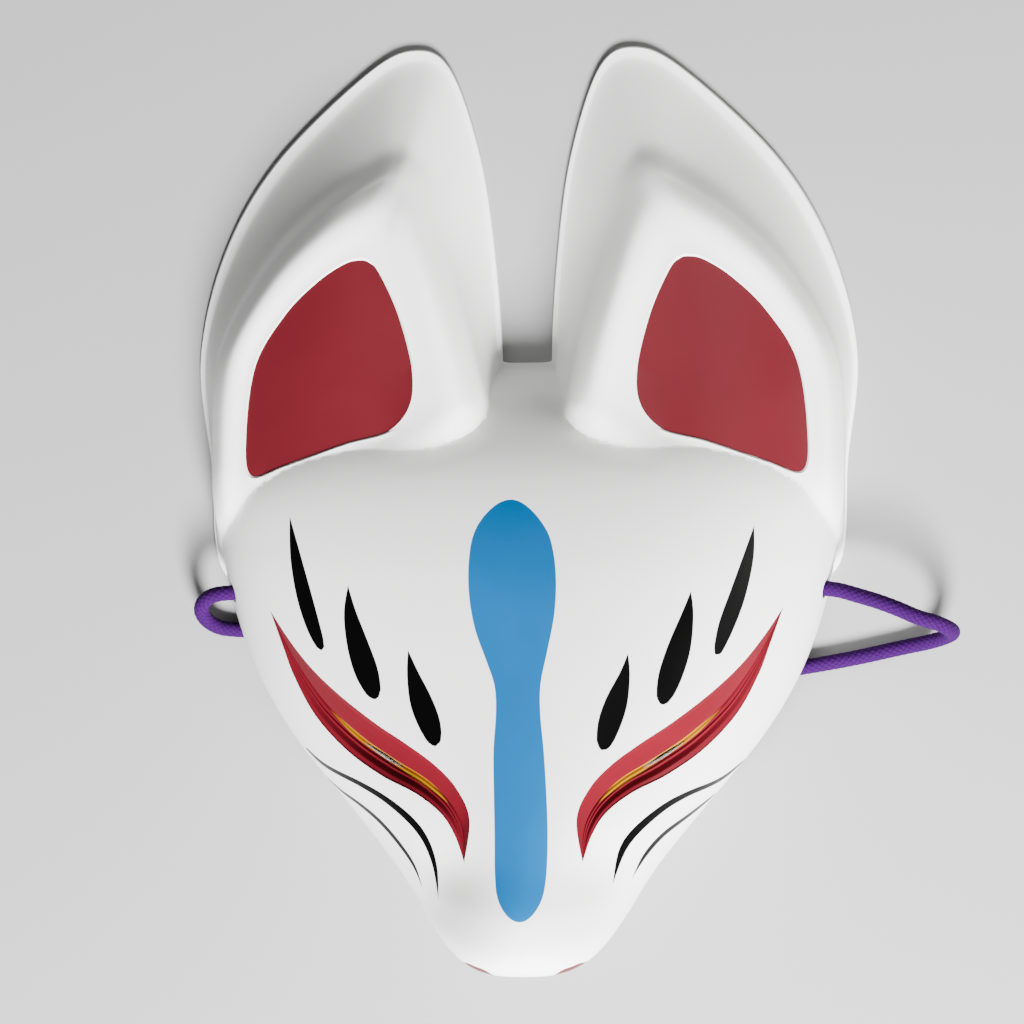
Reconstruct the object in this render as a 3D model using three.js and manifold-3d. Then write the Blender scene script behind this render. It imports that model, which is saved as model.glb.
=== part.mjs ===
// Kitsune mask: a thin moulded plastic fox face that lies on its rim, with its elastic cord.
// Millimetres. +X is the mask's left cheek, +Y points to the ears, +Z points out of the face.
import * as THREE from 'three';
import { mergeVertices } from 'three/addons/utils/BufferGeometryUtils.js';
import Module from 'manifold-3d';

const wasm = await Module();
wasm.setup();

// Whole mask: its width, and its length from the ears' tips to the chin. The tables below are drawn on a
// mask of the drawn size and follow these two.
const maskWidth = 183.2;
const maskLength = 243.8;
const drawnWidth = 183.2;
const drawnLength = 243.8;
const sized = ([x, y, ...rest]) => [(x * maskWidth) / drawnWidth, (y * maskLength) / drawnLength, ...rest];

// Shell
const wall = 2.2;
const flangeHeight = 2.2;

// Where the raw blocks end that the shell is cut from and with; none of these surfaces is left on it
const rawDepth = 8;
const roofHeight = 120;
const rawHalfWidth = 200;

// Face, as stations from the notch between the ears down to the chin. Each row is the crown point's
// y and z, the rim point's x and y, and how square the section is across and upwards.
const drawnStations = [
  [34.1, 2.2, 7.1, 35.6, 6, 2.4],
  [32.6, 2.2, 16, 34, 2.6, 2.4],
  [31.4, 3.6, 28, 32.6, 3.2, 2.4],
  [28.2, 10.5, 44, 29.5, 3.4, 2.4],
  [22.4, 20, 66, 22.5, 3.6, 2.3],
  [12.4, 29.5, 80, 13, 3.6, 2.2],
  [0, 38, 86, -1, 3.4, 2.2],
  [-18, 47, 85.4, -16, 3, 2.1],
  [-37, 54.5, 82, -33, 2.6, 2],
  [-57, 61.5, 75.8, -50, 2.3, 1.9],
  [-77, 68.5, 66, -66, 2, 1.8],
  [-95, 75, 51.5, -82, 1.8, 1.8],
  [-108, 79.5, 38.5, -95, 2, 1.9],
  [-117, 79.5, 31, -103, 2.4, 2],
  [-121.6, 74.5, 25.5, -108, 2.8, 2.1],
  [-121.9, 68, 21, -111, 2.8, 2.2],
  [-121.2, 61, 17, -112.6, 2.8, 2.2],
  [-120.2, 53, 13.5, -113.6, 2.6, 2.2],
  [-118, 38, 9.5, -114.4, 2.5, 2.2],
  [-116, 18, 5, -115, 2.3, 2.2],
  [-115.2, 0, 0, -115.2, 2, 2],
];
// Up to this station the face is seen from above; the muzzle's underside follows it
const lastTopStation = 13.5;
const chinNormal = new THREE.Vector3(0, -1, 0);
const faceStations = drawnStations.map(([crownY, crownZ, rimX, rimY, ...squareness]) => {
  const crown = sized([0, crownY]);
  const rim = sized([rimX, rimY]);
  return [crown[1], crownZ, rim[0], rim[1], ...squareness];
});

// Relief on the muzzle: a hollow behind each side of the nose, and the closed mouth's line, which runs
// round the muzzle's underside and fades towards its corners
const muzzleHollow = new THREE.Vector2(20, -98);
const muzzleHollowReach = 9;
const muzzleHollowDepth = 2;
const mouthStation = 16.1;
const mouthHalfWidth = 0.45;
const mouthDepth = 2.4;
const mouthCornerHeight = 34;
const mouthFade = 14;

// Ear, as matched points round four outlines: the rim, the flange's inner edge by its width, the
// outer edge of the raised arms, and the recessed panel. They start at the notch's corner and run
// up the inner side, over the tip and down the outer side, and close inside the forehead.
const earRim = [
  [6.9, 34.4], [8.4, 62], [12.4, 91], [20.6, 116], [30.6, 121.8], [44.4, 115.2], [70, 90.6], [84.8, 65],
  [91.6, 36], [88.8, 7], [85.2, -24], [64, -24], [42, -5], [22, 1], [8.6, 12],
].map(sized);
const earArms = [
  [13.3, 33.8], [21.4, 61], [27.6, 77], [32, 82.3], [35.5, 83.2], [41, 81], [54, 73.4], [70, 58.6],
  [83.2, 37], [85.8, 12], [83.4, -14], [68, -8], [46, 2.6], [22.4, 5.6], [9.9, 14.6],
].map(sized);
const earPanel = [
  [29.6, 31], [33.4, 46], [38.6, 57.6], [41.4, 60.6], [44, 61.2], [48.2, 60.2], [55.6, 55.4], [64.6, 46.6],
  [73, 33], [75.7, 14], [74.2, 2.6], [64, 5.3], [48, 10.8], [36, 14.2], [30, 21],
].map(sized);

// Ear's section at the same points: the flange's width, the arms' crown, the depth of their shoulder, and
// the height of the steep flank outside it
const earSection = [
  [1.6, 2.4, 5, 0], [1.6, 2.4, 5, 0], [1.8, 1.8, 4, 0.3], [2.8, 1, 2.8, 1.5], [3.6, 0.8, 2.4, 2], [3.8, 0.9, 2.4, 2],
  [3.8, 1.2, 2.6, 2], [3.2, 1.4, 3, 1.5], [1.7, 1.7, 3.4, 1], [1.5, 1.6, 3.6, 0.5], [1.5, 0.8, 3.6, 0.3],
  [0.8, 0, 3, 0], [0.8, 0.4, 3, 0], [0.8, 2, 3.2, 0], [0.8, 2.4, 4, 0],
];
const earCentre = new THREE.Vector2(...sized([56, 29]));
const panelNormal = new THREE.Vector3(0, 0, 1);
const earPlateau = 29.5;
const earPlateauFrom = 12;
const earPlateauSlope = 0.085;
const earOuterFallFrom = 45;
const earOuterFallRadius = 100;
const earLowerFallFrom = new THREE.Vector2(70, 6);
const earLowerFallRadius = 28;
const earShoulderReach = 0.45;
const facetCurve = 1.05;
const flankFrom = 0.72;
const panelRecess = 0.5;

// Eye, as matched points of its socket's upper and lower edges, from the outer to the inner corner
const eyeUpper = [
  [67.8, -32.8], [62.4, -40.1], [55.8, -47.5], [47.7, -54.3], [38, -61], [29.4, -66.1], [22.1, -71],
  [16.6, -76.5], [13.3, -83.8], [14.7, -94.4],
].map(sized);
const eyeLower = [
  [67.8, -32.8], [64, -42.4], [60.8, -50.2], [54.9, -60], [46.2, -68.3], [36.4, -74.2], [27.2, -78.1],
  [20.6, -82.7], [17, -88], [14.7, -94.4],
].map(sized);

// Socket's depth across its full width, from the lower edge at 0 to the upper edge at 1: the band under
// the lower lid, its groove, the lid's ridge, the eyeball, and the upper lid's overhanging edge
const socketWidth = 12.5;
const socketProfile = [
  [-0.05, -0.8], [0, 0.1], [0.03, 0.5], [0.13, 0.95], [0.2, 1.9], [0.26, 2.7], [0.305, 2.1], [0.335, 2.9],
  [0.41, 2.9], [0.485, 3.8], [0.5, 2.4], [0.72, 1.6], [0.9, 0.8], [1, 0.1], [1.05, -0.8],
];
const socketBackProfile = [[-0.3, -2], [0.1, 2.5], [0.4, 4.3], [0.6, 3.8], [1, 1], [1.3, -2]];
const socketBackGap = 3.1;
const pupilFrom = 4.18;
const pupilTo = 5.36;
const pupilLow = 0.395;
const pupilHigh = 0.47;
const pupilNormal = new THREE.Vector3(0.12, -0.18, 0.976);
const pupilDepth = 3.5;
const pupilCutOut = 4;
const pupilCutIn = 9;

// Rim: an arch under each cheek, through which the cord passes
const archFrom = -26;
const archTo = -84;
const archHeight = 6.6;
const archSteps = 20;

// Rows of the sheets: the face's stations and the ear's rings, outside and on the back
const faceRows = [
  0, 1, 2, 3, 4, 5, 6, 7, 8, 9, 10, 11, 11.7, 12.4, 13, 13.6, 14.2, 14.8, 15.4, 15.8, 16.1, 16.4, 16.9, 18, 20,
];
const faceColumns = 30;
const faceBackRows = [0, 2, 3, 4, 4.5, 5, 5.5, 6, 6.5, 7, 8, 9, 10, 11, 12, 13, 14, 15.2, 17, 20];
const faceBackColumns = 20;
const earRings = [0, 1, 1.3, 1.7, 1.88, 2, 2.12, 2.3, 2.6, 2.85, 3, 3.02, 4];
const earSteps = 45;
const earBackRings = [1, 1.72, 2.1, 2.5, 3.04, 4];
const earBackSteps = 30;
const socketSteps = 20;

// Cord, from its knot inside the mask's left cheek, out of the hole, down in a loop that stands on its
// edge, under the rim, loosely across inside the mask, and by a small loop into the other hole
const cordDiameter = 4.3;
const cordHoleDiameter = 5.4;
const cordHole = new THREE.Vector3(...sized([80.2, -28.9, 15]));
const cordHoleCut = 12;
const cordHoleSides = 14;
const cordSides = 8;
const cordSteps = 88;
const cordRoute = [
  [77.1, -28.9, 15], [81, -28.9, 15.1], [84.6, -29.4, 16.1], [88.8, -30.6, 17.8], [94, -32.2, 19.5],
  [99.3, -34.2, 20.8], [104.6, -36.5, 21.2], [109.9, -38.2, 19.9], [113.8, -39.9, 16.4],
  [115.3, -41.3, 11.8], [113.8, -42.8, 7.1], [109.9, -44.3, 3.7], [104.6, -45.5, 2.4], [99, -46.7, 2.3],
  [93.5, -47.9, 2.3], [87.5, -49.1, 2.3], [80, -50.4, 2.3], [71, -51.9, 2.3], [58, -54.6, 2.3],
  [43, -57.6, 2.3], [28, -59, 2.3], [13, -58.4, 2.3], [-2, -55.6, 2.3], [-17, -51.6, 2.3],
  [-32, -47.4, 2.3], [-46, -44, 2.3], [-58, -41.9, 2.3], [-67, -40.8, 2.3], [-73.5, -40.2, 2.3],
  [-78.2, -39.8, 2.3], [-82.3, -39.6, 2.4], [-86.5, -38.9, 3.3], [-89.5, -36.9, 5.6], [-90.6, -34.2, 8.8],
  [-89.5, -31.6, 12], [-86.5, -29.6, 14.3], [-82.3, -28.9, 15.2], [-77.1, -28.9, 15],
].map(sized);
const knotDiameter = 12;
const touchGap = 0.3;

const plastic = new THREE.MeshStandardMaterial({ color: 0xf5f5f3, roughness: 0.32, metalness: 0 });
const elastic = new THREE.MeshStandardMaterial({ color: 0x5f1d96, roughness: 0.85, metalness: 0 });

// Smooth curve through rows of numbers, at a row number that may lie between two rows
function throughRows(rows, at, closed) {
  const count = rows.length;
  const first = Math.floor(at);
  const f = at - first;
  const row = (i) => rows[closed ? ((i % count) + count) % count : Math.min(count - 1, Math.max(0, i))];
  const [a, b, c, d] = [row(first - 1), row(first), row(first + 1), row(first + 2)];
  return b.map((value, k) => {
    const slopeIn = (c[k] - a[k]) / 2;
    const slopeOut = (d[k] - value) / 2;
    const cubic = 2 * value - 2 * c[k] + slopeIn + slopeOut;
    const square = 3 * c[k] - 3 * value - 2 * slopeIn - slopeOut;
    return value + f * (slopeIn + f * (square + f * cubic));
  });
}

const mix = (a, b, f) => a + (b - a) * f;

// A point of the face: the station number runs from the notch to the chin, and share across it from
// -1 at the right rim to 1 at the left rim
function facePoint(station, share) {
  const [crownY, crownZ, rimX, rimY, across, upward] = throughRows(faceStations, station, false);
  const rise = Math.max(0, 1 - Math.abs(share) ** across) ** (1 / upward);
  const x = rimX * share;
  const y = mix(rimY, crownY, rise);
  const z = crownZ * rise;
  const fromHollow = Math.hypot(Math.abs(x) - muzzleHollow.x, y - muzzleHollow.y) / muzzleHollowReach;
  const hollow = muzzleHollowDepth * Math.exp(-fromHollow * fromHollow);
  const fromMouth = (station - mouthStation) / mouthHalfWidth;
  const open = THREE.MathUtils.smoothstep(z, mouthCornerHeight, mouthCornerHeight + mouthFade);
  return new THREE.Vector3(x, y + mouthDepth * open * Math.exp(-fromMouth * fromMouth), z - hollow);
}

// Height of the face over a point, found by moving the station until the section meets it
function faceHeight(x, y) {
  let station = 8;
  let point = facePoint(station, 0);
  for (let pass = 0; pass < 40; pass++) {
    const share = THREE.MathUtils.clamp(x / throughRows(faceStations, station, false)[2], -1, 1);
    point = facePoint(station, share);
    const pace = facePoint(station + 0.01, share).y - point.y;
    station += THREE.MathUtils.clamp((0.01 * (y - point.y)) / pace, -0.6, 0.6);
    station = THREE.MathUtils.clamp(station, 0, lastTopStation);
  }
  return point.z;
}

// Height of the ear's arms and panel before their own relief
function plateauHeight(x, y) {
  const outward = Math.max(0, x - earOuterFallFrom);
  const end = x > earLowerFallFrom.x ? Math.max(0, earLowerFallFrom.y - y) : 0;
  return earPlateau - earPlateauSlope * (y - earPlateauFrom) - (outward * outward) / (2 * earOuterFallRadius)
    - (end * end) / (2 * earLowerFallRadius);
}

// A point of the right ear. Ring 0 is the rim, 1 the flange's inner edge, 2 the arms' outer edge, 3 the
// panel's edge and 4 the panel's middle.
function earPoint(around, ring) {
  const rim = new THREE.Vector2(...throughRows(earRim, around, true));
  const arm = new THREE.Vector2(...throughRows(earArms, around, true));
  const panel = new THREE.Vector2(...throughRows(earPanel, around, true));
  const [flangeWidth, crown, shoulder, flank] = throughRows(earSection, around, true);
  const flange = rim.clone().add(arm.clone().sub(rim).setLength(flangeWidth));
  const outlines = [rim, flange, arm, panel, earCentre];
  const k = Math.min(3, Math.floor(ring));
  const f = ring - k;
  const plan = outlines[k].clone().lerp(outlines[k + 1], f);
  const plateau = plateauHeight(plan.x, plan.y);
  const armEdge = plateauHeight(arm.x, arm.y) - shoulder;
  let z = flangeHeight;
  if (k === 1) {
    const climb = (armEdge - flank - flangeHeight) * f ** facetCurve;
    z += climb + flank * THREE.MathUtils.smoothstep(f, flankFrom, 1);
  } else if (k === 2) {
    const roll = (1 - Math.min(1, f / earShoulderReach)) ** 2;
    z = plateau - shoulder * roll + crown * Math.sin(Math.PI * f) ** 2;
  } else if (k === 3) {
    z = plateau - panelRecess * Math.min(1, f / 0.02);
  }
  return new THREE.Vector3(plan.x, plan.y, z);
}

// Closed solid between two sheets of points of one layout, which may close on themselves across
function blockBetween(upper, lower, wraps) {
  const rows = upper.length;
  const columns = upper[0].length;
  const positions = [...upper, ...lower].flatMap((row) => row.flatMap((p) => p.toArray()));
  const index = [];
  const top = (r, c) => r * columns + (c % columns);
  const below = (r, c) => rows * columns + top(r, c);
  const quad = (a, b, c, d) => index.push(a, b, c, a, c, d);
  const lastColumn = wraps ? columns : columns - 1;
  for (let r = 0; r < rows - 1; r++) {
    for (let c = 0; c < lastColumn; c++) {
      quad(top(r, c), top(r + 1, c), top(r + 1, c + 1), top(r, c + 1));
      quad(below(r, c), below(r, c + 1), below(r + 1, c + 1), below(r + 1, c));
    }
    if (!wraps) {
      quad(top(r, 0), below(r, 0), below(r + 1, 0), top(r + 1, 0));
      quad(top(r + 1, lastColumn), below(r + 1, lastColumn), below(r, lastColumn), top(r, lastColumn));
    }
  }
  for (let c = 0; c < lastColumn; c++) {
    quad(top(0, c + 1), below(0, c + 1), below(0, c), top(0, c));
    if (!wraps) {
      quad(top(rows - 1, c), below(rows - 1, c), below(rows - 1, c + 1), top(rows - 1, c + 1));
    }
  }
  const geometry = new THREE.BufferGeometry();
  geometry.setAttribute('position', new THREE.Float32BufferAttribute(positions, 3));
  geometry.setIndex(index);
  return solidOf(geometry);
}

const moved = (sheet, move) => sheet.map((row) => row.map((p) => move(p.clone())));
const blockUnder = (sheet, wraps) => blockBetween(sheet, moved(sheet, (p) => p.setZ(-rawDepth)), wraps);
const blockOver = (sheet) => blockBetween(moved(sheet, (p) => p.setZ(roofHeight)), sheet, false);

// Exact solid of a closed geometry
function solidOf(geometry) {
  const bare = geometry.clone();
  bare.deleteAttribute('normal');
  bare.deleteAttribute('uv');
  const merged = mergeVertices(bare, 1e-4);
  const triangles = [];
  for (let i = 0; i < merged.index.count; i += 3) {
    const [a, b, c] = [0, 1, 2].map((k) => merged.index.getX(i + k));
    if (a !== b && b !== c && c !== a) triangles.push(a, b, c);
  }
  const mesh = new wasm.Mesh({
    numProp: 3,
    vertProperties: new Float32Array(merged.attributes.position.array),
    triVerts: new Uint32Array(triangles),
  });
  return new wasm.Manifold(mesh);
}

// Geometry of an exact solid
function geometryOf(solid) {
  const mesh = solid.getMesh();
  const geometry = new THREE.BufferGeometry();
  geometry.setAttribute('position', new THREE.BufferAttribute(new Float32Array(mesh.vertProperties), 3));
  geometry.setIndex(new THREE.BufferAttribute(new Uint32Array(mesh.triVerts), 1));
  geometry.computeVertexNormals();
  return geometry;
}

// The sheet moved into the material by the wall's thickness, square to its surface. A row that is drawn
// together into one point moves along the end normal.
function innerSheet(sheet, wraps, endNormal) {
  const rows = sheet.length;
  const columns = sheet[0].length;
  const at = (r, c) => {
    const row = sheet[Math.min(rows - 1, Math.max(0, r))];
    return row[wraps ? (c + columns) % columns : Math.min(columns - 1, Math.max(0, c))];
  };
  return sheet.map((row, r) => row.map((p, c) => {
    const down = at(r + 1, c).clone().sub(at(r - 1, c));
    const across = at(r, c + 1).clone().sub(at(r, c - 1));
    const normal = down.cross(across);
    if (normal.length() < 1e-6) normal.copy(endNormal);
    return p.clone().addScaledVector(normal.normalize(), -wall);
  }));
}

const steps = (count) => Array.from({ length: count + 1 }, (_, i) => i / count);

function faceSheet(stations, columns) {
  return stations.map((station) => (
    steps(columns).map((f) => facePoint(station, Math.sin((f - 0.5) * Math.PI)))
  ));
}

function earSheet(rings, around) {
  return rings.map((ring) => Array.from({ length: around }, (_, i) => (
    earPoint((i * earRim.length) / around, ring)
  )));
}

// A point across the eye socket, level with the face: along runs from corner to corner, and share
// from the lower edge to the upper edge
function eyePoint(along, share) {
  const low = throughRows(eyeLower, along, false);
  const high = throughRows(eyeUpper, along, false);
  const x = mix(low[0], high[0], share);
  const y = mix(low[1], high[1], share);
  return new THREE.Vector3(x, y, faceHeight(x, y));
}

function eyeSheet(profile, stations, extraDepth) {
  const last = eyeUpper.length - 1;
  return steps(stations).map((s) => {
    const along = (1 - s) * last;
    const width = eyePoint(along, 0).distanceTo(eyePoint(along, 1).setZ(eyePoint(along, 0).z));
    return profile.map(([share, depth]) => {
      const p = eyePoint(along, share);
      p.z -= depth * Math.min(1, width / socketWidth) + extraDepth;
      return p;
    });
  });
}

function pupilSheet(stations) {
  return steps(stations).map((s) => {
    const along = mix(pupilTo, pupilFrom, s);
    const half = ((pupilHigh - pupilLow) / 2) * Math.max(0.1, Math.sin(Math.PI * s) ** 0.7);
    const middle = (pupilHigh + pupilLow) / 2;
    return [middle - half, middle + half].map((share) => {
      const p = eyePoint(along, share);
      p.z -= pupilDepth;
      return p;
    });
  });
}

// The space cut from below, so that the rim stands flat with an arch under each cheek
function belowRim() {
  const half = rawHalfWidth;
  const edge = [half, archFrom, ...steps(archSteps).map((s) => mix(archFrom, archTo, s)), archTo, -half];
  const rimHeight = (y) => {
    const across = Math.abs((2 * (y - archFrom)) / (archTo - archFrom) - 1);
    return y < archFrom && y > archTo ? archHeight * (1 - across ** 3) : 0;
  };
  const sheet = edge.map((y) => [-half, half].map((x) => new THREE.Vector3(x, y, rimHeight(y))));
  return blockBetween(moved(sheet, (p) => p), moved(sheet, (p) => p.setZ(-half)), false);
}

function cordHoleCutter() {
  const drill = new THREE.CylinderGeometry(
    cordHoleDiameter / 2, cordHoleDiameter / 2, cordHoleCut, cordHoleSides,
  );
  drill.rotateZ(Math.PI / 2).translate(cordHole.x, cordHole.y, cordHole.z);
  return solidOf(drill);
}

const mirrored = (solid) => solid.mirror([1, 0, 0]);
const both = (solid) => solid.add(mirrored(solid));

function makeShell() {
  const face = blockUnder(faceSheet(faceRows, faceColumns), false);
  const ears = both(blockUnder(earSheet(earRings, earSteps), true));
  const faceBackSheet = innerSheet(faceSheet(faceBackRows, faceBackColumns), false, chinNormal);
  const faceBack = blockUnder(faceBackSheet, false);
  const earBackSheet = innerSheet(earSheet(earBackRings, earBackSteps), true, panelNormal);
  const earBacks = both(blockUnder(earBackSheet, true));
  const sockets = both(blockOver(eyeSheet(socketProfile, socketSteps, 0)));
  const socketBacks = both(blockOver(eyeSheet(socketBackProfile, 8, socketBackGap)));
  const slot = pupilSheet(6);
  const out = pupilNormal.clone().normalize();
  const pupils = both(blockBetween(
    moved(slot, (p) => p.addScaledVector(out, pupilCutOut)),
    moved(slot, (p) => p.addScaledVector(out, -pupilCutIn)),
    false,
  ));
  const cavity = faceBack.subtract(socketBacks).add(earBacks);
  return face.add(ears)
    .subtract(sockets)
    .subtract(cavity)
    .subtract(pupils)
    .subtract(both(cordHoleCutter()))
    .subtract(belowRim());
}

function cordGeometry() {
  const section = new THREE.Shape(steps(cordSides - 1).map((s) => {
    const turn = (s * (cordSides - 1) * 2 * Math.PI) / cordSides;
    return new THREE.Vector2(Math.cos(turn), Math.sin(turn)).multiplyScalar(cordDiameter / 2);
  }));
  const route = new THREE.CatmullRomCurve3(cordRoute.map((p) => new THREE.Vector3(...p)));
  return new THREE.ExtrudeGeometry(section, { steps: cordSteps, extrudePath: route });
}

// A knot lies inside its hole and just clear of the wall and of the cord's end
function knotGeometry(side) {
  const [endX, endY, endZ] = side > 0 ? cordRoute[0] : cordRoute[cordRoute.length - 1];
  const knot = new THREE.SphereGeometry(knotDiameter / 2, 12, 8);
  return knot.translate(endX - side * (knotDiameter / 2 + touchGap), endY, endZ);
}

function named(name, geometry, material) {
  const mesh = new THREE.Mesh(geometry, material);
  mesh.name = name;
  return mesh;
}

const mask = new THREE.Group();
mask.add(
  named('mask_shell', geometryOf(makeShell()), plastic),
  named('elastic_cord', cordGeometry(), elastic),
  named('cord_knot_left', knotGeometry(1), elastic),
  named('cord_knot_right', knotGeometry(-1), elastic),
);

export default mask;
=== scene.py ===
"""Kitsune mask lying face up on its rim, with its elastic cord.

Tables and shape functions are in millimetres; finished meshes are scaled to metres.
"""

import math

import bmesh
import bpy
import numpy as np
from bpy.props import FloatProperty, FloatVectorProperty, IntProperty, PointerProperty
from mathutils import Matrix, Vector
from mathutils.kdtree import KDTree


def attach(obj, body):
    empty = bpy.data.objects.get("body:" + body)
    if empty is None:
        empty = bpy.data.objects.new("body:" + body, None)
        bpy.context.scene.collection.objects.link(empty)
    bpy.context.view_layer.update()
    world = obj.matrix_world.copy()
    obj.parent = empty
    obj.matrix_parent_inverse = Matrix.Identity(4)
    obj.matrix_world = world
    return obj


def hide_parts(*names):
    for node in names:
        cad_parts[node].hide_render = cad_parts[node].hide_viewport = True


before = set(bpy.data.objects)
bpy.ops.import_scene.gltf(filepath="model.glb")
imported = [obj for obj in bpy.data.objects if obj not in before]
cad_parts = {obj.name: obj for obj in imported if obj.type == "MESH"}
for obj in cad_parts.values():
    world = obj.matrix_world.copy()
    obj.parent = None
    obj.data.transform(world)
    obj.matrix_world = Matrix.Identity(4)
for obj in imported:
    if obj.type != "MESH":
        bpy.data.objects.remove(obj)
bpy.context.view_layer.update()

bl_info = {
    "name": "Kitsune mask",
    "version": (1, 0, 0),
    "blender": (4, 5, 0),
    "location": "View3D > Sidebar > Mask",
    "description": "Builds a painted fox mask with its elastic cord",
    "category": "Object",
}

MM = 0.001

# Face, as stations from the notch between the ears down to the chin: the crown point's y and z, the rim
# point's x and y, and how square the section is across and upwards
FACE_STATIONS = (
    (34.1, 2.2, 7.1, 35.6, 6, 2.4), (32.6, 2.2, 16, 34, 2.6, 2.4), (31.4, 3.6, 28, 32.6, 3.2, 2.4),
    (28.2, 10.5, 44, 29.5, 3.4, 2.4), (22.4, 20, 66, 22.5, 3.6, 2.3), (12.4, 29.5, 80, 13, 3.6, 2.2),
    (0, 38, 86, -1, 3.4, 2.2), (-18, 47, 85.4, -16, 3, 2.1), (-37, 54.5, 82, -33, 2.6, 2),
    (-57, 61.5, 75.8, -50, 2.3, 1.9), (-77, 68.5, 66, -66, 2, 1.8), (-95, 75, 51.5, -82, 1.8, 1.8),
    (-108, 79.5, 38.5, -95, 2, 1.9), (-117, 79.5, 31, -103, 2.4, 2), (-121.6, 74.5, 25.5, -108, 2.8, 2.1),
    (-121.9, 68, 21, -111, 2.8, 2.2), (-121.2, 61, 17, -112.6, 2.8, 2.2),
    (-120.2, 53, 13.5, -113.6, 2.6, 2.2), (-118, 38, 9.5, -114.4, 2.5, 2.2), (-116, 18, 5, -115, 2.3, 2.2),
    (-115.2, 0, 0, -115.2, 2, 2),
)
LAST_TOP_STATION = 13.5
# Shallow hollow beside the bridge of the nose: its place, spread and depth
HOLLOW_PLACE = (20, -98)
HOLLOW_SPREAD = 9
HOLLOW_DEPTH = 2
# Groove of the mouth: its station, how far it reaches, the heights between which it fades in, and its depth
MOUTH_STATION = 16.1
MOUTH_REACH = 0.45
MOUTH_FADE = (34, 48)
MOUTH_DEPTH = 2.4

# Ear, as matched points round the rim, the outer edge of the raised arms and the recessed panel
EAR_RIM = (
    (6.9, 34.4), (8.4, 62), (12.4, 91), (20.6, 116), (30.6, 121.8), (44.4, 115.2), (70, 90.6), (84.8, 65),
    (91.6, 36), (88.8, 7), (85.2, -24), (64, -24), (42, -5), (22, 1), (8.6, 12),
)
EAR_ARMS = (
    (13.3, 33.8), (21.4, 61), (27.6, 77), (32, 82.3), (35.5, 83.2), (41, 81), (54, 73.4), (70, 58.6),
    (83.2, 37), (85.8, 12), (83.4, -14), (68, -8), (46, 2.6), (22.4, 5.6), (9.9, 14.6),
)
EAR_PANEL = (
    (29.6, 31), (33.4, 46), (38.6, 57.6), (41.4, 60.6), (44, 61.2), (48.2, 60.2), (55.6, 55.4), (64.6, 46.6),
    (73, 33), (75.7, 14), (74.2, 2.6), (64, 5.3), (48, 10.8), (36, 14.2), (30, 21),
)
# The flange's width, the arms' crown, their shoulder's depth and the steep flank outside it, at the same
# points
EAR_SECTION = (
    (1.6, 2.4, 5, 0), (1.6, 2.4, 5, 0), (1.8, 1.8, 4, 0.3), (2.8, 1, 2.8, 1.5), (3.6, 0.8, 2.4, 2),
    (3.8, 0.9, 2.4, 2), (3.8, 1.2, 2.6, 2), (3.2, 1.4, 3, 1.5), (1.7, 1.7, 3.4, 1), (1.5, 1.6, 3.6, 0.5),
    (1.5, 0.8, 3.6, 0.3), (0.8, 0, 3, 0), (0.8, 0.4, 3, 0), (0.8, 2, 3.2, 0), (0.8, 2.4, 4, 0),
)
EAR_CENTRE = (56.0, 29.0)
# Height of the ear's arms and panel: level at a place in y, its slope, and where it starts to fall outward
# and towards the cheek
PLATEAU_HEIGHT = 29.5
PLATEAU_FROM = 12
PLATEAU_SLOPE = 0.085
OUTER_FALL_FROM = 45
END_FALL_FROM = 6
# How an ear's section runs from ring to ring
RIM_ROUNDING = 0.8
FACET_CURVE = 1.05
FLANK_FROM = 0.72
SHOULDER_REACH = 0.45
PANEL_STEP = 0.018
EAR_RINGS = (
    0, 0.15, 0.4, 0.7, 0.9, 1, 1.02, 1.06, 1.12, 1.2, 1.3, 1.4, 1.5, 1.6, 1.68, 1.74, 1.79, 1.83, 1.87, 1.91,
    1.95, 1.98, 2, 2.03, 2.07, 2.11, 2.15, 2.2, 2.25, 2.3, 2.35, 2.4, 2.45, 2.5, 2.56, 2.62, 2.68, 2.74, 2.8,
    2.86, 2.92, 2.97, 3, 3.018, 3.03, 3.1, 3.25, 3.4, 3.55, 3.7, 3.85, 4,
)
EAR_BACK_RINGS = (
    1, 1.1, 1.25, 1.4, 1.55, 1.7, 1.8, 1.9, 2, 2.08, 2.2, 2.35, 2.5, 2.65, 2.8, 2.92, 3.04, 3.3, 3.6, 4,
)

# Eye, as matched points of its socket's two edges from the outer to the inner corner
EYE_UPPER = (
    (67.8, -32.8), (62.4, -40.1), (55.8, -47.5), (47.7, -54.3), (38, -61), (29.4, -66.1), (22.1, -71),
    (16.6, -76.5), (13.3, -83.8), (14.7, -94.4),
)
EYE_LOWER = (
    (67.8, -32.8), (64, -42.4), (60.8, -50.2), (54.9, -60), (46.2, -68.3), (36.4, -74.2), (27.2, -78.1),
    (20.6, -82.7), (17, -88), (14.7, -94.4),
)
SOCKET_PROFILE = (
    (-0.05, -0.8), (0, 0.1), (0.03, 0.5), (0.13, 0.95), (0.2, 1.9), (0.26, 2.7), (0.305, 2.1), (0.335, 2.9),
    (0.41, 2.9), (0.485, 3.8), (0.5, 2.4), (0.72, 1.6), (0.9, 0.8), (1, 0.1), (1.05, -0.8),
)
SOCKET_BACK_PROFILE = ((-0.3, -2), (0.1, 2.5), (0.4, 4.3), (0.6, 3.8), (1, 1), (1.3, -2))
PUPIL_NORMAL = (0.02, -0.06, 0.998)
PUPIL_SHARES = (0.388, 0.483)
PUPIL_ALONG = (4.18, 5.36)
PUPIL_DEPTH = 3.5
PUPIL_CUT_OUT = 4
PUPIL_CUT_LENGTH = 13
FULL_DEPTH_WIDTH = 12.5
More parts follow.
